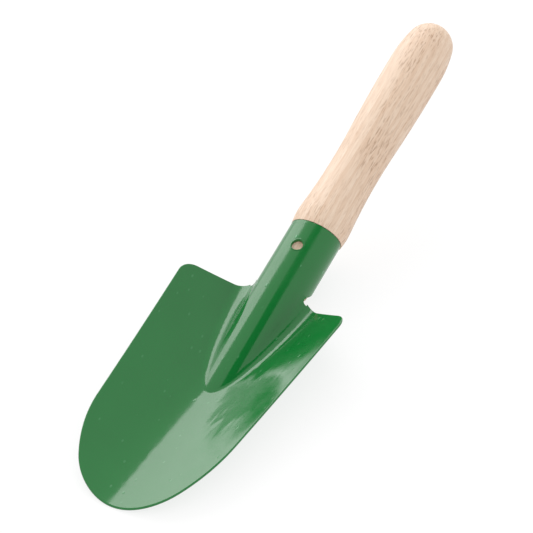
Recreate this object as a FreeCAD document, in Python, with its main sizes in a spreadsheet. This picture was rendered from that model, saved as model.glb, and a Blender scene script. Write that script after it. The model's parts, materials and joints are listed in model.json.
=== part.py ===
import FreeCAD, Part
import math
import os
import re
import Sketcher

Vector = FreeCAD.Vector

# Hand trowel: a pressed-steel blade with a rolled socket, a turned beech handle and the nail that holds it.
#
# Frame: +Z up, millimetres. The tool lies on the plane Z = 0 on the back of its blade and on the lower end of its
# socket. The blade's tip points to -X, the handle rises towards +X, and Y = 0 is the plane of symmetry of
# everything but the nail. The origin is the middle of the tool's bounding box, on the plane it lies on.
#
# The handle has a frame of its own. Its origin is the middle of the socket's mouth, its Z runs along the handle
# to the butt, and its X points down, square to the handle. "Along" and "down" are measured in that frame, and
# "station" is a distance from the mouth towards the butt, or on the socket from the mouth towards the blade.

DIMENSIONS = {
    # trough of the blade
    "sheet_gauge": 1.2,
    "shoulder_slope": 0.74,
    "tip_slope": 0.5,
    "keel_rounding": 8.0,
    "blade_length": 130.0,
    "shoulder_place": -23.16,
    # plan outline of the blade
    "half_width": 41.4,
    "side_taper": 4.84,
    "tip_radius": 28.5,
    "side_radius": 72.4,
    "corner_radius": 8.9,
    "shoulder_sweep": 26.85,
    "neck_place": 15.43,
    "neck_half_width": 13.0,
    # block that the trough and the spine are cut from
    "block_margin": 8.0,
    "block_tail": 60.0,
    "block_half_width": 46.0,
    "block_rise": 28.0,
    "block_depth": 60.0,
    # socket, and the spine that runs on from it down into the trough
    "handle_angle": 18.0,
    "mouth_place": 50.4,
    "mouth_height": 20.5,
    "mouth_slant": 6.3,
    "mouth_setback": 0.5,
    "socket_radius": 12.5,
    "ear_length": 34.6,
    "spine_reach": 125.0,
    "spine_depth": 32.0,
    "neck_blend": 3.0,
    "spine_blend": 8.0,
    "spine_length": 75.0,
    "edge_rounding": 0.4,
    "shortest_rounded": 2.0,
    "seam_width": 1.6,
    "tool_overrun": 15.0,
    # notch between each ear of the socket and its shoulder
    "socket_length": 27.8,
    "ear_drop": 5.0,
    "notch_height": 3.0,
    "notch_start": 35.6,
    "notch_end": 38.6,
    "notch_foot": 37.4,
    "notch_foot_drop": 6.6,
    "notch_root": 32.8,
    "notch_rounding": 1.5,
    "ear_rounding": 3.0,
    # pierced hole on the front of the socket
    "hole_station": 15.8,
    "hole_radius": 2.65,
    # handle
    "tenon_radius": 11.2,
    "tenon_length": 31.5,
    "spot_height": 10.8,
    "collar_gap": 0.3,
    "collar_station": -3.0,
    "flare_station": 6.0,
    "flare_section": 13.35,
    "waist_station": 40.0,
    "waist_section": 11.88,
    "waist_arc": 360.0,
    "belly_station": 105.5,
    "belly_section": 13.37,
    "heel_arc": 78.0,
    "butt_station": 131.9,
    # nail
    "nail_angle": 28.0,
    "nail_hole_radius": 1.4,
    "pilot_radius": 1.3,
    "nail_radius": 1.25,
    "nail_length": 15.0,
    "nail_point": 2.5,
    "head_lift": 0.03,
    "head_radius": 2.9,
    "head_rim": 0.4,
    "head_crown": 1.5,
    "head_height": 1.0,
}

# Radii that make the arcs of the handle's profile meet smoothly: the waist's hollow is tangent to the full arcs of
# the flare and the belly on either side of it, and the heel's arc is tangent to the butt's, centred on the axis.
WAIST_TO_CREST = "(({0}_station - waist_station) ^ 2 / ({0}_section - waist_section) - 2 * waist_arc" \
    " + {0}_section - waist_section) / 2"
FLARE_ARC = "(" + WAIST_TO_CREST.format("flare") + ")"
BELLY_ARC = "(" + WAIST_TO_CREST.format("belly") + ")"
COLLAR_SECTION = "flare_section - {0} + sqrt({0} ^ 2 - (flare_station - collar_station) ^ 2)".format(FLARE_ARC)
BUTT_ARC = "((heel_arc ^ 2 - (butt_station - belly_station) ^ 2 - (heel_arc - belly_section) ^ 2)" \
    " / (2 * (heel_arc - butt_station + belly_station)))"


def fill_sheet(doc):
    """Write every driving dimension into one sheet, each cell with its own alias."""
    sheet = doc.addObject("Spreadsheet::Sheet", "Dimensions")
    for row, (alias, value) in enumerate(DIMENSIONS.items(), start=1):
        sheet.set("A%d" % row, alias)
        sheet.set("B%d" % row, str(value))
        sheet.setAlias("B%d" % row, alias)
    doc.recompute()
    return sheet


def formula(text):
    """Point each alias in an expression at its cell of the sheet."""
    return re.sub(r"[a-z]+(_[a-z]+)+", lambda word: "Dimensions." + word.group(), text)


def value(sheet, text):
    """The number that an expression of the sheet's aliases gives now."""
    return float(sheet.evalExpression(formula(text)))


def bind(item, **sizes):
    """Drive an object's properties by the sheet."""
    for name, text in sizes.items():
        item.setExpression(name, formula(text))
    return item


def place(item, x, y, z, axis, angle):
    """Drive an object's position and its turn about one axis by the sheet."""
    item.Placement = FreeCAD.Placement(Vector(), FreeCAD.Rotation(axis, 90))
    item.setExpression("Placement.Base.x", formula(x))
    item.setExpression("Placement.Base.y", formula(y))
    item.setExpression("Placement.Base.z", formula(z))
    item.setExpression("Placement.Rotation.Angle", formula(angle))
    return item


def place_on_handle(item, down="0", across="0", along="0", angle="90 - handle_angle"):
    """Put an object at a point of the handle's frame, turned about Y."""
    x = "mouth_place + (%s) * cos(handle_angle) + (%s) * sin(handle_angle)" % (along, down)
    z = "mouth_height + (%s) * sin(handle_angle) - (%s) * cos(handle_angle)" % (along, down)
    return place(item, x, across, z, Vector(0, 1, 0), angle)


def place_beside_mouth(item, distance):
    """Put an object on the handle's axis, square to the slanted mouth and the given distance beyond it."""
    slope = "(handle_angle + mouth_slant)"
    x = "mouth_place - mouth_setback * cos(handle_angle) + (%s) * cos%s" % (distance, slope)
    z = "mouth_height - mouth_setback * sin(handle_angle) + (%s) * sin%s" % (distance, slope)
    return place(item, x, "0", z, Vector(0, 1, 0), "90 - handle_angle - mouth_slant")


def cut(doc, name, base, tool):
    item = doc.addObject("Part::Cut", name)
    item.Base = base
    item.Tool = tool
    return item


def fuse(doc, name, *shapes):
    item = doc.addObject("Part::MultiFuse", name)
    item.Shapes = list(shapes)
    return item


def common(doc, name, *shapes):
    item = doc.addObject("Part::MultiCommon", name)
    item.Shapes = list(shapes)
    return item


def fillet(doc, name, base, edges, radius_at):
    """Round the numbered edges of an object, each with its own radius at either end."""
    item = doc.addObject("Part::Fillet", name)
    item.Base = base
    picks = []
    for number in edges:
        ends = base.Shape.Edges[number - 1].Vertexes
        picks.append((number, radius_at(ends[0].Point), radius_at(ends[-1].Point)))
    item.Edges = picks
    return item


def sketch_on(body, name, role):
    """A sketch on one of a body's origin planes."""
    plane = next(p for p in body.Origin.OriginFeatures if p.Role == role)
    sketch = body.newObject("Sketcher::SketchObject", name)
    sketch.AttachmentSupport = [(plane, "")]
    sketch.MapMode = "FlatFace"
    return sketch


def polygon(sheet, sketch, corners):
    """A closed outline of straight lines whose corners are pairs of expressions."""
    points = [Vector(value(sheet, x), value(sheet, y), 0) for x, y in corners]
    count = len(points)
    for number in range(count):
        sketch.addGeometry(Part.LineSegment(points[number], points[(number + 1) % count]), False)
    for number in range(count):
        sketch.addConstraint(Sketcher.Constraint("Coincident", number, 2, (number + 1) % count, 1))
    for number, (x, y) in enumerate(corners):
        pin_point(sheet, sketch, number, 1, x, y)


def pin_point(sheet, sketch, geometry, end, x, y):
    """Hold one point of a sketch at a pair of expressions."""
    for kind, text in (("DistanceX", x), ("DistanceY", y)):
        distance = value(sheet, text)
        index = sketch.addConstraint(Sketcher.Constraint(kind, -1, 1, geometry, end, distance))
        sketch.setExpression("Constraints[%d]" % index, formula(text))


def outline_arc(sketch, centre, radius, start, end):
    """An arc of a sketch, anticlockwise between two points."""
    angles = [math.atan2(p.y - centre.y, p.x - centre.x) for p in (start, end)]
    circle = Part.Circle(centre, Vector(0, 0, 1), radius)
    return sketch.addGeometry(Part.ArcOfCircle(circle, angles[0], angles[1]), False)


def half_outline(doc, sheet):
    """Plan of the blade's +Y half: tip arc, side arc, straight side, corner, straight shoulder and neck.

    The straight side leans in by the taper towards the tip, and the shoulder leans back by its sweep towards the
    corner. Each arc meets its neighbours tangentially.
    """
    sketch = doc.addObject("Sketcher::SketchObject", "HalfOutline")
    length = value(sheet, "blade_length")
    width = value(sheet, "half_width")
    taper = math.radians(value(sheet, "side_taper"))
    tip = value(sheet, "tip_radius")
    side = value(sheet, "side_radius")
    corner = value(sheet, "corner_radius")
    sweep = math.radians(value(sheet, "shoulder_sweep"))
    neck = value(sheet, "neck_half_width")
    tail = value(sheet, "block_tail")
    normal = Vector(-math.sin(taper), math.cos(taper), 0)
    run = Vector(math.cos(taper), math.sin(taper), 0)
    back = Vector(math.cos(sweep), math.sin(sweep), 0)
    start = Vector(0, width, 0)
    neck_join = Vector(value(sheet, "neck_place"), neck, 0)

    def centre_beside(inset, other, distance):
        """Centre that lies inset from the straight side and the given distance from another centre."""
        base = start - normal * inset
        offset = base - other
        half = offset.dot(run)
        root = math.sqrt(half * half - offset.dot(offset) + distance * distance)
        return base + run * (-half + root)

    tip_centre = Vector(tip - length, 0, 0)
    side_centre = centre_beside(side, tip_centre, side - tip)
    from_side = normal.dot(start) - corner
    from_shoulder = back.dot(neck_join) - corner
    spread = normal.x * back.y - normal.y * back.x
    corner_centre = Vector(from_side * back.y - from_shoulder * normal.y,
                           from_shoulder * normal.x - from_side * back.x, 0) / spread
    towards_tip = (tip_centre - side_centre).normalize()
    tip_join = side_centre + towards_tip * side
    side_join = side_centre + normal * side
    corner_join = corner_centre + normal * corner
    shoulder_join = corner_centre + back * corner

    tip_arc = outline_arc(sketch, tip_centre, tip, tip_join, Vector(-length, 0, 0))
    side_arc = outline_arc(sketch, side_centre, side, side_join, tip_join)
    straight = sketch.addGeometry(Part.LineSegment(corner_join, side_join), False)
    corner_arc = outline_arc(sketch, corner_centre, corner, shoulder_join, corner_join)
    shoulder = sketch.addGeometry(Part.LineSegment(neck_join, shoulder_join), False)
    neck_side = sketch.addGeometry(Part.LineSegment(Vector(tail, neck, 0), neck_join), False)
    neck_end = sketch.addGeometry(Part.LineSegment(Vector(tail, 0, 0), Vector(tail, neck, 0)), False)
    middle = sketch.addGeometry(Part.LineSegment(Vector(-length, 0, 0), Vector(tail, 0, 0)), False)

    for first, second in ((side_arc, tip_arc), (straight, side_arc), (corner_arc, straight),
                          (shoulder, corner_arc)):
        sketch.addConstraint(Sketcher.Constraint("Tangent", first, 2, second, 1))
    for first, second in ((neck_side, shoulder), (neck_end, neck_side), (middle, neck_end)):
        sketch.addConstraint(Sketcher.Constraint("Coincident", first, 2, second, 1))
    sketch.addConstraint(Sketcher.Constraint("Coincident", tip_arc, 2, middle, 1))
    for arc, text in ((tip_arc, "tip_radius"), (side_arc, "side_radius"), (corner_arc, "corner_radius")):
        index = sketch.addConstraint(Sketcher.Constraint("Radius", arc, value(sheet, text)))
        sketch.setExpression("Constraints[%d]" % index, formula(text))
    sketch.addConstraint(Sketcher.Constraint("PointOnObject", tip_arc, 3, -1))
    pin_point(sheet, sketch, middle, 1, "-blade_length", "0")
    pin_point(sheet, sketch, neck_end, 1, "block_tail", "0")
    pin_point(sheet, sketch, neck_end, 2, "block_tail", "neck_half_width")
    pin_point(sheet, sketch, shoulder, 1, "neck_place", "neck_half_width")
    return sketch


def outline_prism(doc, sheet):
    """Upright prism on the whole plan of the blade, for trimming the sheet."""
    half = doc.addObject("Part::Extrusion", "HalfPrism")
    half.Base = half_outline(doc, sheet)
    half.DirMode = "Custom"
    half.Dir = Vector(0, 0, 1)
    half.Solid = True
    bind(half, LengthFwd="2 * block_rise", LengthRev="block_depth")
    other = doc.addObject("Part::Mirroring", "OtherHalfPrism")
    other.Source = half
    other.Normal = Vector(0, 1, 0)
    return fuse(doc, "OutlinePrism", half, other)


def trough_section(doc, sheet, name, station, offset):
    """Closed section of the room above the trough, at a station along the blade.

    Its lower side is a hyperbola, level at the keel and close to the flanks' slope further out. The flanks get
    flatter from the shoulder to the tip. The offset is the distance below the sheet's upper face.
    """
    place_x = value(sheet, station)
    below = value(sheet, offset)
    slope = value(sheet, "shoulder_slope + (shoulder_slope - tip_slope) * (%s) / blade_length" % station)
    rounding = value(sheet, "keel_rounding") + below * (math.hypot(1, slope) - 1)
    keel = value(sheet, "sheet_gauge") - below
    half = value(sheet, "block_half_width + block_margin")
    top = value(sheet, "block_depth")
    root = math.hypot(rounding, slope * half)
    rim = keel + root - rounding
    crossing = rim - (slope * half) ** 2 / root
    curve = Part.BSplineCurve()
    curve.buildFromPolesMultsKnots(
        [Vector(place_x, -half, rim), Vector(place_x, 0, crossing), Vector(place_x, half, rim)],
        [3, 3], [0, 1], False, 2, [1, (rim - keel) / (keel - crossing), 1])
    corners = [Vector(place_x, half, rim), Vector(place_x, half, top), Vector(place_x, -half, top),
               Vector(place_x, -half, rim)]
    sides = [Part.makeLine(first, second) for first, second in zip(corners, corners[1:])]
    section = doc.addObject("Part::Feature", name)
    section.Shape = Part.Wire([curve.toShape()] + sides)
    return section


def lies_on(edge, face):
    return all(face.distToShape(Part.Vertex(point))[0] < 0.001 for point in edge.discretize(9))


def formed_block(doc, sheet, name, offset):
    """Solid under one face of the sheet: the trough with the spine standing in it, and a blend between them.

    The offset is the distance of this face below the sheet's upper face.
    """
    block = doc.addObject("Part::Box", name + "Block")
    bind(block, Length="blade_length + block_margin + block_tail", Width="2 * block_half_width",
         Height="block_rise + block_depth")
    place(block, "-blade_length - block_margin", "-block_half_width", "-block_depth", Vector(1, 0, 0), "0")
    bowl = doc.addObject("Part::Loft", name + "Bowl")
    bowl.Sections = [
        trough_section(doc, sheet, name + "FrontSection", "-blade_length - 2 * block_margin", offset),
        trough_section(doc, sheet, name + "BackSection", "block_tail + block_margin", offset),
    ]
    bowl.Solid = True
    bowl.Ruled = True
    trough = cut(doc, name + "Trough", block, bowl)

    barrel = doc.addObject("Part::Cylinder", name + "Barrel")
    bind(barrel, Radius="socket_radius - " + offset, Height="spine_reach + tool_overrun")
    place_on_handle(barrel, along="-spine_reach")
    legs = doc.addObject("Part::Box", name + "Legs")
    bind(legs, Length="spine_depth", Width="2 * (socket_radius - %s)" % offset,
         Height="spine_reach + tool_overrun")
    place_on_handle(legs, across="%s - socket_radius" % offset, along="-spine_reach")
    joined = fuse(doc, name + "Joined", trough, barrel, legs)
    doc.recompute()

    keel = Part.Vertex(0, 0, value(sheet, "sheet_gauge - " + offset))
    bed = min(bowl.Shape.Faces, key=lambda face: face.distToShape(keel)[0])
    reach = value(sheet, "socket_radius - " + offset) + 0.01
    creases = []
    for number, edge in enumerate(joined.Shape.Edges, start=1):
        if max(abs(edge.BoundBox.YMin), abs(edge.BoundBox.YMax)) < reach and lies_on(edge, bed):
            creases.append(number)

    narrow = value(sheet, "neck_blend + " + offset)
    wide = value(sheet, "spine_blend + " + offset)
    start = value(sheet, "neck_place")
    length = value(sheet, "spine_length")

    def blend_at(point):
        """The blend widens from the neck to the spine's tip."""
        share = min(max((start - point.x) / length, 0), 1)
        return narrow + (wide - narrow) * share

    return fillet(doc, name + "Formed", joined, creases, blend_at)


def rolled_socket(doc):
    """Tube that the sheet is rolled into, with its slanted mouth and the open seam at the back."""
    outer = doc.addObject("Part::Cylinder", "SocketOuter")
    bind(outer, Radius="socket_radius", Height="ear_length + tool_overrun")
    place_on_handle(outer, along="-ear_length")
    inner = doc.addObject("Part::Cylinder", "SocketInner")
    bind(inner, Radius="socket_radius - sheet_gauge", Height="ear_length + 2 * tool_overrun")
    place_on_handle(inner, along="-ear_length - tool_overrun / 2")
    tube = cut(doc, "SocketTube", outer, inner)
    mouth = doc.addObject("Part::Cylinder", "MouthCutter")
    bind(mouth, Radius="2 * socket_radius", Height="2 * tool_overrun")
    place_beside_mouth(mouth, "0")
    open_tube = cut(doc, "SocketOpen", tube, mouth)
    seam = doc.addObject("Part::Box", "SeamCutter")
    bind(seam, Length="2 * socket_radius", Width="seam_width", Height="ear_length + 2 * tool_overrun")
    place_on_handle(seam, across="-seam_width / 2", along="-ear_length - tool_overrun / 2")
    return cut(doc, "SocketSplit", open_tube, seam)


def notch_cutter(doc, sheet):
    """Bar across the neck whose section is the notch, seen from the side, with its corners rounded."""
    body = doc.addObject("PartDesign::Body", "NotchBar")
    sketch = sketch_on(body, "NotchSection", "XZ_Plane")
    polygon(sheet, sketch, [
        ("spine_depth", "-socket_length"),
        ("ear_drop", "-socket_length"),
        ("-notch_height", "-notch_start"),
        ("-notch_height", "-notch_end"),
        ("notch_foot_drop", "-notch_foot"),
        ("spine_depth", "-notch_root"),
    ])
    pad = body.newObject("PartDesign::Pad", "NotchPad")
    pad.Profile = sketch
    pad.Midplane = True
    bind(pad, Length="2 * (neck_half_width + neck_blend - sheet_gauge)")
    place_on_handle(body)
    doc.recompute()
    corners = [
        ("ear_drop", "-socket_length", "ear_rounding"),
        ("-notch_height", "-notch_start", "notch_rounding"),
        ("-notch_height", "-notch_end", "notch_rounding"),
    ]
    rounded = doc.addObject("Part::Fillet", "NotchCutter")
    rounded.Base = body
    frame = body.Placement.inverse()
    picks = []
    for number, edge in enumerate(body.Shape.Edges, start=1):
        middle = frame.multVec(edge.CenterOfMass)
        for down, along, radius in corners:
            spot = Vector(value(sheet, down), 0, value(sheet, along))
            if middle.distanceToPoint(spot) < 0.001:
                size = value(sheet, radius)
                picks.append((number, size, size))
    rounded.Edges = picks
    return rounded


def nail_frame(sheet, depth):
    """Frame on the nail's line: Z out of the socket, origin at a depth from the socket's outer face."""
    angle = value(sheet, "handle_angle")
    turn = FreeCAD.Rotation(Vector(0, 1, 0), 90 - angle)
    place_x = value(sheet, "mouth_place - hole_station * cos(handle_angle)")
    place_z = value(sheet, "mouth_height - hole_station * sin(handle_angle)")
    handle = FreeCAD.Placement(Vector(place_x, 0, place_z), turn)
    swing = FreeCAD.Rotation(Vector(0, 0, 1), value(sheet, "nail_angle"))
    stand = FreeCAD.Rotation(Vector(0, 1, 0), 90)
    outward = FreeCAD.Placement(Vector(), swing * stand)
    distance = value(sheet, "socket_radius + (%s)" % depth)
    return handle * outward * FreeCAD.Placement(Vector(0, 0, distance), FreeCAD.Rotation())


def rounded_edges(doc, sheet, pressing):
    """Round both edges of the sheet's cut side all round the blade's outline, but not in the neck."""
    doc.recompute()
    neck = value(sheet, "neck_half_width") + 0.01
    shortest = value(sheet, "shortest_rounded")
    cut_sides = [face for face in pressing.Shape.Faces
                 if max(abs(face.BoundBox.YMin), abs(face.BoundBox.YMax)) > neck and stands_upright(face)]
    picks = []
    for number, edge in enumerate(pressing.Shape.Edges, start=1):
        if edge.Length > shortest and any(edge.isSame(other) for face in cut_sides for other in face.Edges):
            picks.append(number)
    rounding = value(sheet, "edge_rounding")
    return fillet(doc, "RoundedPressing", pressing, picks, lambda point: rounding)


def stands_upright(face):
    first_u, last_u, first_v, last_v = face.ParameterRange
    return abs(face.normalAt((first_u + last_u) / 2, (first_v + last_v) / 2).z) < 0.0001


def build_blade(doc, sheet):
    """The one pressing: blade, spine and socket."""
    upper = formed_block(doc, sheet, "Upper", "0")
    lower = formed_block(doc, sheet, "Lower", "sheet_gauge")
    shell = cut(doc, "PressedSheet", upper, lower)
    trimmed = common(doc, "TrimmedSheet", shell, outline_prism(doc, sheet))
    room = doc.addObject("Part::Cylinder", "RoomForEars")
    bind(room, Radius="2 * half_width", Height="2 * block_tail")
    place_on_handle(room, along="-ear_length")
    blade_sheet = cut(doc, "BladeSheet", trimmed, room)
    pressing = fuse(doc, "Pressing", blade_sheet, rolled_socket(doc))
    notched = cut(doc, "NotchedPressing", pressing, notch_cutter(doc, sheet))
    hole = doc.addObject("Part::Cylinder", "FrontHole")
    bind(hole, Radius="hole_radius", Height="2 * socket_radius")
    place_on_handle(hole, along="-hole_station", angle="360 - handle_angle")
    pierced = cut(doc, "PiercedPressing", notched, hole)
    nail_hole = doc.addObject("Part::Cylinder", "NailHole")
    bind(nail_hole, Radius="nail_hole_radius", Height="socket_radius")
    nail_hole.Placement = nail_frame(sheet, "-socket_radius / 2")
    blade = rounded_edges(doc, sheet, cut(doc, "NailedPressing", pierced, nail_hole))
    return finish(blade, "blade")


def crest_join(crest, arc):
    """Radius and station where the waist's hollow meets the full arc of the flare or the belly."""
    share = "%s / (%s + waist_arc)" % (arc, arc)
    across = "%s_section - %s + (waist_section + waist_arc - %s_section + %s) * %s" % (
        crest, arc, crest, arc, share)
    along = "%s_station + (waist_station - %s_station) * %s" % (crest, crest, share)
    return across, along


def heel_join():
    """Radius and station where the heel's arc runs into the butt's."""
    share = "heel_arc / (heel_arc - %s)" % BUTT_ARC
    across = "(belly_section - heel_arc) * (1 - %s)" % share
    along = "belly_station + (butt_station - %s - belly_station) * %s" % (BUTT_ARC, share)
    return across, along


def handle_profile(sheet, sketch):
    """Half section of the handle: tenon, collar, flare, waist, belly, heel and butt, closed along the axis."""
    corners = [
        ("0", "-tenon_length"),
        ("tenon_radius", "-tenon_length"),
        ("tenon_radius", "collar_station"),
        (COLLAR_SECTION, "collar_station"),
        crest_join("flare", FLARE_ARC),
        crest_join("belly", BELLY_ARC),
        ("belly_section", "belly_station"),
        heel_join(),
        ("0", "butt_station"),
    ]
    bulges = {3: FLARE_ARC, 4: "waist_arc", 5: BELLY_ARC, 6: "heel_arc", 7: BUTT_ARC}
    hollow = 4
    points = [Vector(value(sheet, x), value(sheet, y), 0) for x, y in corners]
    count = len(points)
    for number in range(count):
        start = points[number]
        end = points[(number + 1) % count]
        if number in bulges:
            side = -1 if number == hollow else 1
            sketch.addGeometry(bulged(start, end, side * value(sheet, bulges[number])), False)
        else:
            sketch.addGeometry(Part.LineSegment(start, end), False)
    for number, (x, y) in enumerate(corners):
        before = (number - 1) % count
        start_of_this = 2 if number == hollow else 1
        end_of_last = 1 if before == hollow else 2
        sketch.addConstraint(Sketcher.Constraint("Coincident", before, end_of_last, number, start_of_this))
        pin_point(sheet, sketch, number, start_of_this, x, y)
    for number, text in bulges.items():
        index = sketch.addConstraint(Sketcher.Constraint("Radius", number, value(sheet, text)))
        sketch.setExpression("Constraints[%d]" % index, formula(text))


def bulged(start, end, radius):
    """Arc between two points of the profile; a positive radius bulges away from the axis."""
    chord = end - start
    across = Vector(chord.y, -chord.x, 0).normalize()
    middle = start + chord * 0.5
    sagitta = abs(radius) - math.sqrt(radius ** 2 - chord.Length ** 2 / 4)
    crown = middle + across * math.copysign(sagitta, radius)
    return Part.Arc(start, crown, end)


def build_handle(doc, sheet):
    """The turned handle: its collar is trimmed to the slanted mouth, and its tenon has a small flat spot under the
    socket's front hole and a pilot hole for the nail."""
    body = doc.addObject("PartDesign::Body", "TurnedHandle")
    sketch = sketch_on(body, "HandleProfile", "XZ_Plane")
    handle_profile(sheet, sketch)
    turned = body.newObject("PartDesign::Revolution", "HandleTurning")
    turned.Profile = sketch
    turned.ReferenceAxis = (sketch, ["V_Axis"])
    turned.Angle = 360
    place_on_handle(body)
    collar_cutter = doc.addObject("Part::Cylinder", "CollarCutter")
    bind(collar_cutter, Radius="2 * socket_radius", Height="tool_overrun")
    place_beside_mouth(collar_cutter, "collar_gap - tool_overrun")
    tenon_keep = doc.addObject("Part::Cylinder", "TenonKeep")
    bind(tenon_keep, Radius="tenon_radius", Height="4 * tool_overrun")
    place_on_handle(tenon_keep, along="-2 * tool_overrun - collar_gap")
    trimmed = cut(doc, "CollaredHandle", body, cut(doc, "CollarRing", collar_cutter, tenon_keep))
    spot = doc.addObject("Part::Cylinder", "FlatSpot")
    bind(spot, Radius="hole_radius", Height="socket_radius")
    place_on_handle(spot, down="-spot_height", along="-hole_station", angle="360 - handle_angle")
    spotted = cut(doc, "SpottedHandle", trimmed, spot)
    pilot = doc.addObject("Part::Cylinder", "Pilot")
    bind(pilot, Radius="pilot_radius", Height="nail_length + socket_radius")
    pilot.Placement = nail_frame(sheet, "-nail_length - (pilot_radius - nail_radius)")
    return finish(cut(doc, "Handle", spotted, pilot), "handle")


def build_nail(doc, sheet):
    """Round nail with a low crowned head, turned about its own axis."""
    body = doc.addObject("PartDesign::Body", "TurnedNail")
    sketch = sketch_on(body, "NailProfile", "XZ_Plane")
    polygon(sheet, sketch, [
        ("0", "-nail_length"),
        ("nail_radius", "-nail_length + nail_point"),
        ("nail_radius", "0"),
        ("head_radius", "0"),
        ("head_radius", "head_rim"),
        ("head_crown", "head_height"),
        ("0", "head_height"),
    ])
    turned = body.newObject("PartDesign::Revolution", "NailTurning")
    turned.Profile = sketch
    turned.ReferenceAxis = (sketch, ["V_Axis"])
    turned.Angle = 360
    shift = FreeCAD.Placement(Vector(value(sheet, "shoulder_place"), 0, 0), FreeCAD.Rotation())
    body.Placement = shift * nail_frame(sheet, "head_lift")
    body.Label = "handle_nail"
    return body


def finish(item, label):
    """Name a sub-part and move it from the blade's shoulder to the tool's own origin."""
    item.Label = label
    item.Placement = FreeCAD.Placement()
    item.setExpression("Placement.Base.x", formula("shoulder_place"))
    return item


def check(doc, parts):
    """Stop if any object failed or a sub-part is not one closed, valid solid."""
    for item in doc.Objects:
        if "Invalid" in item.State or "Error" in item.State:
            raise RuntimeError(item.Name + " failed: " + ", ".join(item.State))
    for part in parts:
        shape = part.Shape
        if shape.isNull() or not shape.isValid() or len(shape.Solids) != 1:
            raise RuntimeError(part.Label + " is not one valid solid")


def main():
    doc = FreeCAD.newDocument("HandTrowel")
    sheet = fill_sheet(doc)
    parts = [build_blade(doc, sheet), build_handle(doc, sheet), build_nail(doc, sheet)]
    doc.recompute()
    check(doc, parts)
    os.makedirs("parts", exist_ok=True)
    for part in parts:
        part.Shape.exportStep("parts/" + part.Label + ".step")
        box = part.Shape.BoundBox
        print(part.Label, round(part.Shape.Volume, 1), "mm3, X", round(box.XMin, 2), round(box.XMax, 2),
              "Y", round(box.YMin, 2), round(box.YMax, 2), "Z", round(box.ZMin, 2), round(box.ZMax, 2))


main()
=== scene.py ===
import json
import math

import bpy
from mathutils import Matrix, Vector


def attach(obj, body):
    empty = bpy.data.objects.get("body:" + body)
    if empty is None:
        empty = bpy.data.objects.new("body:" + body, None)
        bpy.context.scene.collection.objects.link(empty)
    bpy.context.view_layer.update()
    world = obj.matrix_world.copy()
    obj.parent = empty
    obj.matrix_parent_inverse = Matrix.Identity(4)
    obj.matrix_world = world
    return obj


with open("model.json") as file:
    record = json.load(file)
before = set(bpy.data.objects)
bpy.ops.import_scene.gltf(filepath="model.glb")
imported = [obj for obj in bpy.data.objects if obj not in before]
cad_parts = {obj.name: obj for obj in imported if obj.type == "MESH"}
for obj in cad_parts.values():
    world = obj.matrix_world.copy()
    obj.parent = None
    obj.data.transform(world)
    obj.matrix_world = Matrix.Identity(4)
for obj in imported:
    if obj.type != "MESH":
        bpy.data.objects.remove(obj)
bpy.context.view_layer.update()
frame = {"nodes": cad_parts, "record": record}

# Lengths are in metres and angles in degrees, except where a comment says otherwise.

# Camera: beyond the tip, looking down along the tool through a long lens. It stands at a distance from
# the blade's shoulder and aims a little above it and to the right of it. Lens and sensor are in
# millimetres.
SHOULDER = Vector((-0.02316, 0.0, 0.0012))
VIEW_AZIMUTH = 209.16
VIEW_ELEVATION = 40.25
VIEW_DISTANCE = 1.0714
AIM_ABOVE = 0.0279
AIM_RIGHT = 0.00145
LENS = 160.0
SENSOR = 36.0
NEAREST = 0.01
FARTHEST = 50.0

# Studio: a white room, one tall softbox beyond the handle that is brighter towards its top, and a dark
# patch of ceiling.
PANEL_DISTANCE = 2.6
SOFTBOX_AZIMUTH = (22, 71)
SOFTBOX_ELEVATION = (0, 50)
SOFTBOX_LOW = 2.2
SOFTBOX_HIGH = 5.1
CEILING_AZIMUTH = 299
CEILING_ELEVATION = 72
CEILING_SPREAD = 24
CEILING_BLACK = (0.001, 0.001, 0.001)
ROOM_LIGHT = 1.05
FLOOR_REACH = 10
FLOOR_WHITE = (0.93, 0.93, 0.93)
FLOOR_GLOW = 0.8

# Front hole and slope of the handle, from the record's mount, and the socket that the hole is in.
HOLE = next(mount for mount in frame["record"]["mounts"] if mount["name"] == "pierced_hole")
HANDLE_SLOPE = math.asin(-HOLE["axis"][0])
SOCKET_RADIUS = 0.0125
MM_PER_METRE = 1000

# Bead of paint round the hole: the radius of its section where it is thickest, its gap to the hole's
# edge, how far round from the handle's side it is thickest (in radians), the least share of that radius
# that it has anywhere, and the mesh's steps round the hole and round the section.
RIM_BEAD = 0.0006
RIM_CLEAR = 0.00004
RIM_LEAN = 0.35
RIM_LEAST = 0.4
RIM_STEPS = 64
RIM_SECTION = 14

# Materials. Colours are linear. A grain is roughly how many features there are to a metre, a relief is
# a depth, and a stretch makes a pattern longer along the handle: a tenth is ten times longer.
ENAMEL = (0.0058, 0.154, 0.0275)
ENAMEL_DEEP = (0.0045, 0.134, 0.0225)
ENAMEL_IOR = 1.5
ENAMEL_ROUGHNESS = (0.08, 0.15)
CLOUD_GRAIN = 45
GLOSS_GRAIN = 160
RIPPLE = {"grain": 95, "stretch": 0.22, "detail": 1.0, "relief": 0.00008}
ORANGE_PEEL = {"grain": 900, "detail": 1.0, "relief": 0.0000022}

# Press marks beside the spine. They fade in and out over these distances from the middle, and over
# these places along the tool.
PRESS_MARKS = {"grain": 170, "detail": 1.5, "relief": 0.00026}
MARKS_INNER = (0.007, 0.012)
MARKS_OUTER = (0.020, 0.028)
MARKS_FRONT = (-0.108, -0.090)
MARKS_BACK = (-0.055, -0.035)

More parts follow.
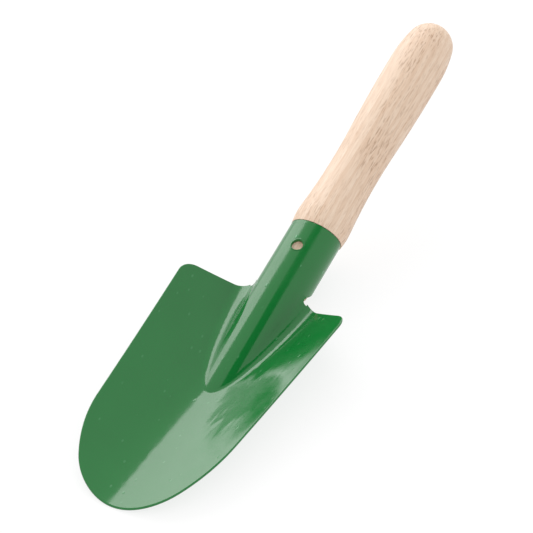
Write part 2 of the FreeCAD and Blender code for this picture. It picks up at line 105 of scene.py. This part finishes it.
# Dust in the paint. A cell gets a nib as its random value passes the range of choice. The nib fades in
# towards the cell's middle over the range of radius, in cells, and only a share of it shows on the
# blade. Each nib is also painted a lighter green by its tint, a painted highlight for the light that
# it catches.
NIB = {"grain": 330, "stretch": 0.5, "relief": 0.00012, "tint": 0.7}
# Lighter green of the nibs: a painted highlight, not the colour of the dust.
NIB_PAINTED_HIGHLIGHT = (0.10, 0.34, 0.16)
NIB_CHOICE = (0.62, 0.66)
NIB_RADIUS = (0.20, 0.10)
NIB_ON_BLADE = 0.25

# The paint is duller and dustier on the socket: where along the tool it changes, and how much duller it
# is.
SOCKET_FINISH = (-0.030, 0.0)
SOCKET_DULLNESS = 0.10

# Beech: growth rings round a pith beside the handle, dark past an edge in each ring, and over them
# fibres, tone and flecks, each from a range of its own pattern and with its own strength of tint.
BEECH = (0.735, 0.575, 0.445)
BEECH_DARK = (0.60, 0.405, 0.275)
BEECH_FLECK = (0.36, 0.215, 0.13)
BEECH_ROUGHNESS = (0.42, 0.60)
PITH = (0, 0.031, -0.004)
RINGS = {"Scale": 95, "Distortion": 9.0, "Detail": 2.0, "Detail Scale": 0.6, "Detail Roughness": 0.5}
RING_STRETCH = 0.13
RING_EDGE = 0.45
RING_TINT = 0.50
FIBRE = {"grain": 1300, "stretch": 0.035, "detail": 3.0, "roughness": 0.65, "relief": 0.00004}
FIBRE_RANGE = (0.40, 0.68)
FIBRE_TINT = 0.55
TONE = {"grain": 75, "stretch": 0.30}
TONE_RANGE = (0.40, 0.68)
TONE_TINT = 0.35
FLECK = {"grain": 1900, "stretch": 0.10, "relief": 0.00006}
FLECK_RANGE = (0.54, 0.64)
FLECK_TONE = (0.30, 0.60)
FLECK_TINT = 0.70

STEEL = (0.47, 0.46, 0.44)
STEEL_DULL = (0.25, 0.235, 0.22)
STEEL_ROUGHNESS = (0.25, 0.5)
TARNISH = {"grain": 1500, "detail": 4.0, "relief": 0.00002}
TARNISH_RANGE = (0.45, 0.7)

# The part of a noise pattern's values that is stretched to a full range of roughness.
MID_NOISE = (0.3, 0.7)


def direction(azimuth, elevation):
    """The unit vector at an azimuth from +X towards +Y and an elevation."""
    turn, rise = math.radians(azimuth), math.radians(elevation)
    return Vector((math.cos(rise) * math.cos(turn), math.cos(rise) * math.sin(turn), math.sin(rise)))


def make_camera():
    towards = direction(VIEW_AZIMUTH, VIEW_ELEVATION)
    right = Vector((0, 0, 1)).cross(towards).normalized()
    above = towards.cross(right)
    data = bpy.data.cameras.new("camera")
    data.lens = LENS
    data.sensor_width = SENSOR
    data.clip_start = NEAREST
    data.clip_end = FARTHEST
    camera = bpy.data.objects.new("camera", data)
    camera.location = SHOULDER + towards * VIEW_DISTANCE
    aim = SHOULDER + above * AIM_ABOVE + right * AIM_RIGHT
    camera.rotation_mode = "QUATERNION"
    camera.rotation_quaternion = (aim - camera.location).to_track_quat("-Z", "Y")
    bpy.context.scene.collection.objects.link(camera)
    bpy.context.scene.camera = camera


def new_material(name):
    """An empty material and its tree, with the output node in place."""
    material = bpy.data.materials.new(name)
    material.use_nodes = True
    tree = material.node_tree
    tree.nodes.clear()
    tree.nodes.new("ShaderNodeOutputMaterial")
    return material, tree


def add(tree, kind, settings=None, sockets=None):
    """Add a node; each socket takes a value or the output of another node."""
    made = tree.nodes.new("ShaderNode" + kind)
    for name, setting in (settings or {}).items():
        setattr(made, name, setting)
    for name, given in (sockets or {}).items():
        if isinstance(given, bpy.types.NodeSocket):
            tree.links.new(given, made.inputs[name])
        else:
            made.inputs[name].default_value = given
    return made


def shade(tree, shader):
    tree.links.new(shader.outputs[0], tree.nodes["Material Output"].inputs["Surface"])


def fixed_place(tree):
    """Coordinates fixed in the object."""
    return add(tree, "TexCoord").outputs["Object"]


def along_handle(tree, stretch, shift=(0, 0, 0)):
    """Coordinates fixed in the object: X turned to run along the handle, then shifted, and X stretched."""
    turned = add(tree, "Mapping", sockets={"Vector": fixed_place(tree), "Rotation": (0, HANDLE_SLOPE, 0),
                                           "Location": shift})
    scaled = add(tree, "Mapping", sockets={"Vector": turned.outputs[0], "Scale": (stretch, 1, 1)})
    return scaled.outputs[0]


def noise(tree, place, grain, detail=2.0, roughness=0.5):
    sockets = {"Vector": place, "Scale": grain, "Detail": detail, "Roughness": roughness}
    return add(tree, "TexNoise", sockets=sockets).outputs["Fac"]


def between(tree, factor, source, target=(0.0, 1.0)):
    """Stretch a range of a factor to a new range, held at its ends."""
    made = add(tree, "MapRange", sockets={"Value": factor, "From Min": source[0], "From Max": source[1],
                                          "To Min": target[0], "To Max": target[1]})
    return made.outputs[0]


def blend(tree, factor, first, second):
    colors = [c if isinstance(c, bpy.types.NodeSocket) else (*c, 1) for c in (first, second)]
    return add(tree, "MixRGB", sockets={"Fac": factor, "Color1": colors[0], "Color2": colors[1]}).outputs[0]


def times(tree, first, second):
    return add(tree, "Math", {"operation": "MULTIPLY"}, {0: first, 1: second}).outputs[0]


def bump(tree, height, depth, below=None):
    """Relief of a depth, on top of another relief."""
    sockets = {"Height": height, "Distance": depth, "Strength": 1.0}
    if below is not None:
        sockets["Normal"] = below
    return add(tree, "Bump", sockets=sockets).outputs[0]


def finish_material(material, tree, color, roughness, relief, **others):
    """Join colour, roughness, relief and any other sockets, given by their own names, into the surface."""
    sockets = {"Base Color": color, "Roughness": roughness, "Normal": relief, **others}
    shade(tree, add(tree, "BsdfPrincipled", sockets=sockets))
    return material


def window(tree, place, rise, fall):
    """One between two ranges of a coordinate, zero outside them, with soft ends."""
    return times(tree, between(tree, place, rise), between(tree, place, fall, (1.0, 0.0)))


def press_marks(tree, along):
    """Lengthwise drawing marks on the flanks beside the spine, where the sheet was stretched most."""
    place = add(tree, "SeparateXYZ", sockets={0: fixed_place(tree)})
    side = add(tree, "Math", {"operation": "ABSOLUTE"}, {0: place.outputs["Y"]}).outputs[0]
    band = times(tree, window(tree, side, MARKS_INNER, MARKS_OUTER),
                 window(tree, place.outputs["X"], MARKS_FRONT, MARKS_BACK))
    return times(tree, noise(tree, along, PRESS_MARKS["grain"], PRESS_MARKS["detail"]), band)


def dust(tree, socket):
    """Nibs of dust under the paint, few on the blade and more on the socket; the same mask places the nibs'
    painted highlight.
    """
    cells = add(tree, "TexVoronoi", sockets={"Vector": along_handle(tree, NIB["stretch"]),
                                             "Scale": NIB["grain"]})
    chosen = times(tree, between(tree, cells.outputs["Color"], NIB_CHOICE),
                   between(tree, socket, (0.0, 1.0), (NIB_ON_BLADE, 1.0)))
    return times(tree, between(tree, cells.outputs["Distance"], NIB_RADIUS), chosen)


def enamel_material():
    """Gloss green enamel: slow ripples from the press along the tool, orange peel, and a few dust nibs with
    a painted highlight on them.
    """
    material, tree = new_material("green_enamel_paint")
    plain = fixed_place(tree)
    along = along_handle(tree, RIPPLE["stretch"])
    place = add(tree, "SeparateXYZ", sockets={0: plain})
    socket = between(tree, place.outputs["X"], SOCKET_FINISH)
    nib_and_glint = dust(tree, socket)
    color = blend(tree, noise(tree, plain, CLOUD_GRAIN), ENAMEL_DEEP, ENAMEL)
    # Paint the nibs a lighter green: a painted highlight for the light they catch.
    color = blend(tree, times(tree, nib_and_glint, NIB["tint"]), color, NIB_PAINTED_HIGHLIGHT)
    relief = bump(tree, noise(tree, along, RIPPLE["grain"], RIPPLE["detail"]), RIPPLE["relief"])
    relief = bump(tree, press_marks(tree, along), PRESS_MARKS["relief"], relief)
    peel = noise(tree, plain, ORANGE_PEEL["grain"], ORANGE_PEEL["detail"])
    relief = bump(tree, peel, ORANGE_PEEL["relief"], relief)
    relief = bump(tree, nib_and_glint, NIB["relief"], relief)
    gloss = between(tree, noise(tree, plain, GLOSS_GRAIN), MID_NOISE, ENAMEL_ROUGHNESS)
    dulled = add(tree, "Math", {"operation": "MULTIPLY_ADD"}, {0: socket, 1: SOCKET_DULLNESS, 2: gloss})
    return finish_material(material, tree, color, dulled.outputs[0], relief, IOR=ENAMEL_IOR)


def beech_material():
    """Sanded beech: growth rings, lengthwise fibres and short dark flecks."""
    material, tree = new_material("sanded_beech")
    rings = add(tree, "TexWave", {"wave_type": "RINGS", "rings_direction": "X", "wave_profile": "SAW"},
                {"Vector": along_handle(tree, RING_STRETCH, PITH), **RINGS})
    fibre = noise(tree, along_handle(tree, FIBRE["stretch"]), FIBRE["grain"], FIBRE["detail"],
                  FIBRE["roughness"])
    tone = noise(tree, along_handle(tree, TONE["stretch"]), TONE["grain"])
    speck = noise(tree, along_handle(tree, FLECK["stretch"]), FLECK["grain"])
    fleck = times(tree, between(tree, speck, FLECK_RANGE), between(tree, tone, FLECK_TONE))
    late = between(tree, rings.outputs["Fac"], (RING_EDGE, 1.0), (0.0, RING_TINT))
    color = blend(tree, late, BEECH, BEECH_DARK)
    color = blend(tree, between(tree, fibre, FIBRE_RANGE, (0.0, FIBRE_TINT)), color, BEECH_DARK)
    color = blend(tree, between(tree, tone, TONE_RANGE, (0.0, TONE_TINT)), color, BEECH_DARK)
    color = blend(tree, times(tree, fleck, FLECK_TINT), color, BEECH_FLECK)
    relief = bump(tree, fibre, FIBRE["relief"])
    relief = bump(tree, between(tree, fleck, (0.0, 1.0), (1.0, 0.0)), FLECK["relief"], relief)
    roughness = between(tree, fibre, MID_NOISE, BEECH_ROUGHNESS)
    return finish_material(material, tree, color, roughness, relief)


def steel_material():
    """Bright wire nail, dulled in patches."""
    material, tree = new_material("nail_steel")
    tarnish = noise(tree, fixed_place(tree), TARNISH["grain"], TARNISH["detail"])
    color = blend(tree, between(tree, tarnish, TARNISH_RANGE), STEEL, STEEL_DULL)
    roughness = between(tree, tarnish, MID_NOISE, STEEL_ROUGHNESS)
    relief = bump(tree, tarnish, TARNISH["relief"])
    return finish_material(material, tree, color, roughness, relief, Metallic=1.0)


def make_world():
    world = bpy.data.worlds.new("studio")
    world.use_nodes = True
    background = world.node_tree.nodes["Background"]
    background.inputs["Color"].default_value = (1, 1, 1, 1)
    background.inputs["Strength"].default_value = ROOM_LIGHT
    bpy.context.scene.world = world
    bpy.context.scene.view_settings.view_transform = "Standard"


def add_mesh(name, points, faces, material):
    """An object of its own with one material."""
    mesh = bpy.data.meshes.new(name)
    mesh.from_pydata(points, [], faces)
    mesh.materials.append(material)
    made = bpy.data.objects.new(name, mesh)
    bpy.context.scene.collection.objects.link(made)
    return made


def make_rectangle(name, half_width, half_height, material):
    """A flat rectangle of the studio, centred on the origin and facing up."""
    corners = [(-half_width, -half_height, 0), (half_width, -half_height, 0),
               (half_width, half_height, 0), (-half_width, half_height, 0)]
    rectangle = add_mesh(name, corners, [(0, 1, 2, 3)], material)
    return rectangle


def make_panel(name, azimuth, elevation, width, height, material):
    """A flat panel that faces the tool from a direction and that the camera doesn't see."""
    towards = direction(azimuth, elevation)
    half_width, half_height = (PANEL_DISTANCE * math.tan(math.radians(size) / 2)
                               for size in (width, height))
    panel = make_rectangle(name, half_width, half_height, material)
    panel.location = towards * PANEL_DISTANCE
    panel.rotation_mode = "QUATERNION"
    panel.rotation_quaternion = towards.to_track_quat("Z", "Y")
    panel.visible_camera = False
    return panel


def make_softbox():
    material, tree = new_material("softbox_cloth")
    height = add(tree, "SeparateXYZ", sockets={0: add(tree, "TexCoord").outputs["Generated"]}).outputs["Y"]
    strength = between(tree, height, (0.0, 1.0), (SOFTBOX_LOW, SOFTBOX_HIGH))
    shade(tree, add(tree, "Emission", sockets={"Strength": strength}))
    (west, east), (low, high) = SOFTBOX_AZIMUTH, SOFTBOX_ELEVATION
    make_panel("softbox", (west + east) / 2, (low + high) / 2, east - west, high - low, material)


def make_dark_ceiling():
    material, tree = new_material("ceiling_black")
    shade(tree, add(tree, "BsdfDiffuse", sockets={"Color": (*CEILING_BLACK, 1)}))
    panel = make_panel("ceiling", CEILING_AZIMUTH, CEILING_ELEVATION, CEILING_SPREAD, CEILING_SPREAD,
                       material)
    panel.visible_shadow = False
    panel.visible_diffuse = False


def make_floor():
    material, tree = new_material("floor_white")
    paper = add(tree, "BsdfDiffuse", sockets={"Color": (*FLOOR_WHITE, 1)}).outputs[0]
    glow = add(tree, "Emission", sockets={"Strength": 1.0}).outputs[0]
    shade(tree, add(tree, "MixShader", sockets={0: FLOOR_GLOW, 1: paper, 2: glow}))
    make_rectangle("floor", FLOOR_REACH, FLOOR_REACH, material)


def rim_point(face, along, out, angle, tilt):
    """A point of the bead, round the hole by an angle and round the bead's section by a tilt."""
    thickest = max(math.cos(angle + RIM_LEAN), 0) ** 2
    bead = RIM_BEAD * (RIM_LEAST + (1 - RIM_LEAST) * thickest)
    reach = HOLE["dims"]["r_mm"] / MM_PER_METRE + RIM_CLEAR + bead * (1 + math.cos(tilt))
    side = reach * math.sin(angle)
    drop = SOCKET_RADIUS - math.sqrt(SOCKET_RADIUS ** 2 - side ** 2)
    place = face + along * reach * math.cos(angle) + Vector((0, side, 0))
    return place + out * (bead * math.sin(tilt) - drop)


def make_hole_rim(material):
    """The bead of paint round the front hole, thickest on the side towards the handle."""
    out = Vector(HOLE["axis"])
    along = Vector((out.z, 0, -out.x))
    face = Vector(HOLE["pos_m"]) + out * HOLE["dims"]["length_mm"] / MM_PER_METRE / 2
    points, quads = [], []
    for step in range(RIM_STEPS):
        this = step * RIM_SECTION
        after = (step + 1) % RIM_STEPS * RIM_SECTION
        for turn in range(RIM_SECTION):
            following = (turn + 1) % RIM_SECTION
            points.append(rim_point(face, along, out, 2 * math.pi * step / RIM_STEPS,
                                    2 * math.pi * turn / RIM_SECTION))
            quads.append((this + turn, after + turn, after + following, this + following))
    rim = add_mesh("hole_rim", points, quads, material)
    rim.data.shade_smooth()
    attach(rim, "root")


def dress(node, material):
    for slot in frame["nodes"][node].material_slots:
        slot.material = material


make_camera()
make_world()
make_softbox()
make_dark_ceiling()
make_floor()
enamel = enamel_material()
dress("blade", enamel)
make_hole_rim(enamel)
dress("handle", beech_material())
dress("handle_nail", steel_material())
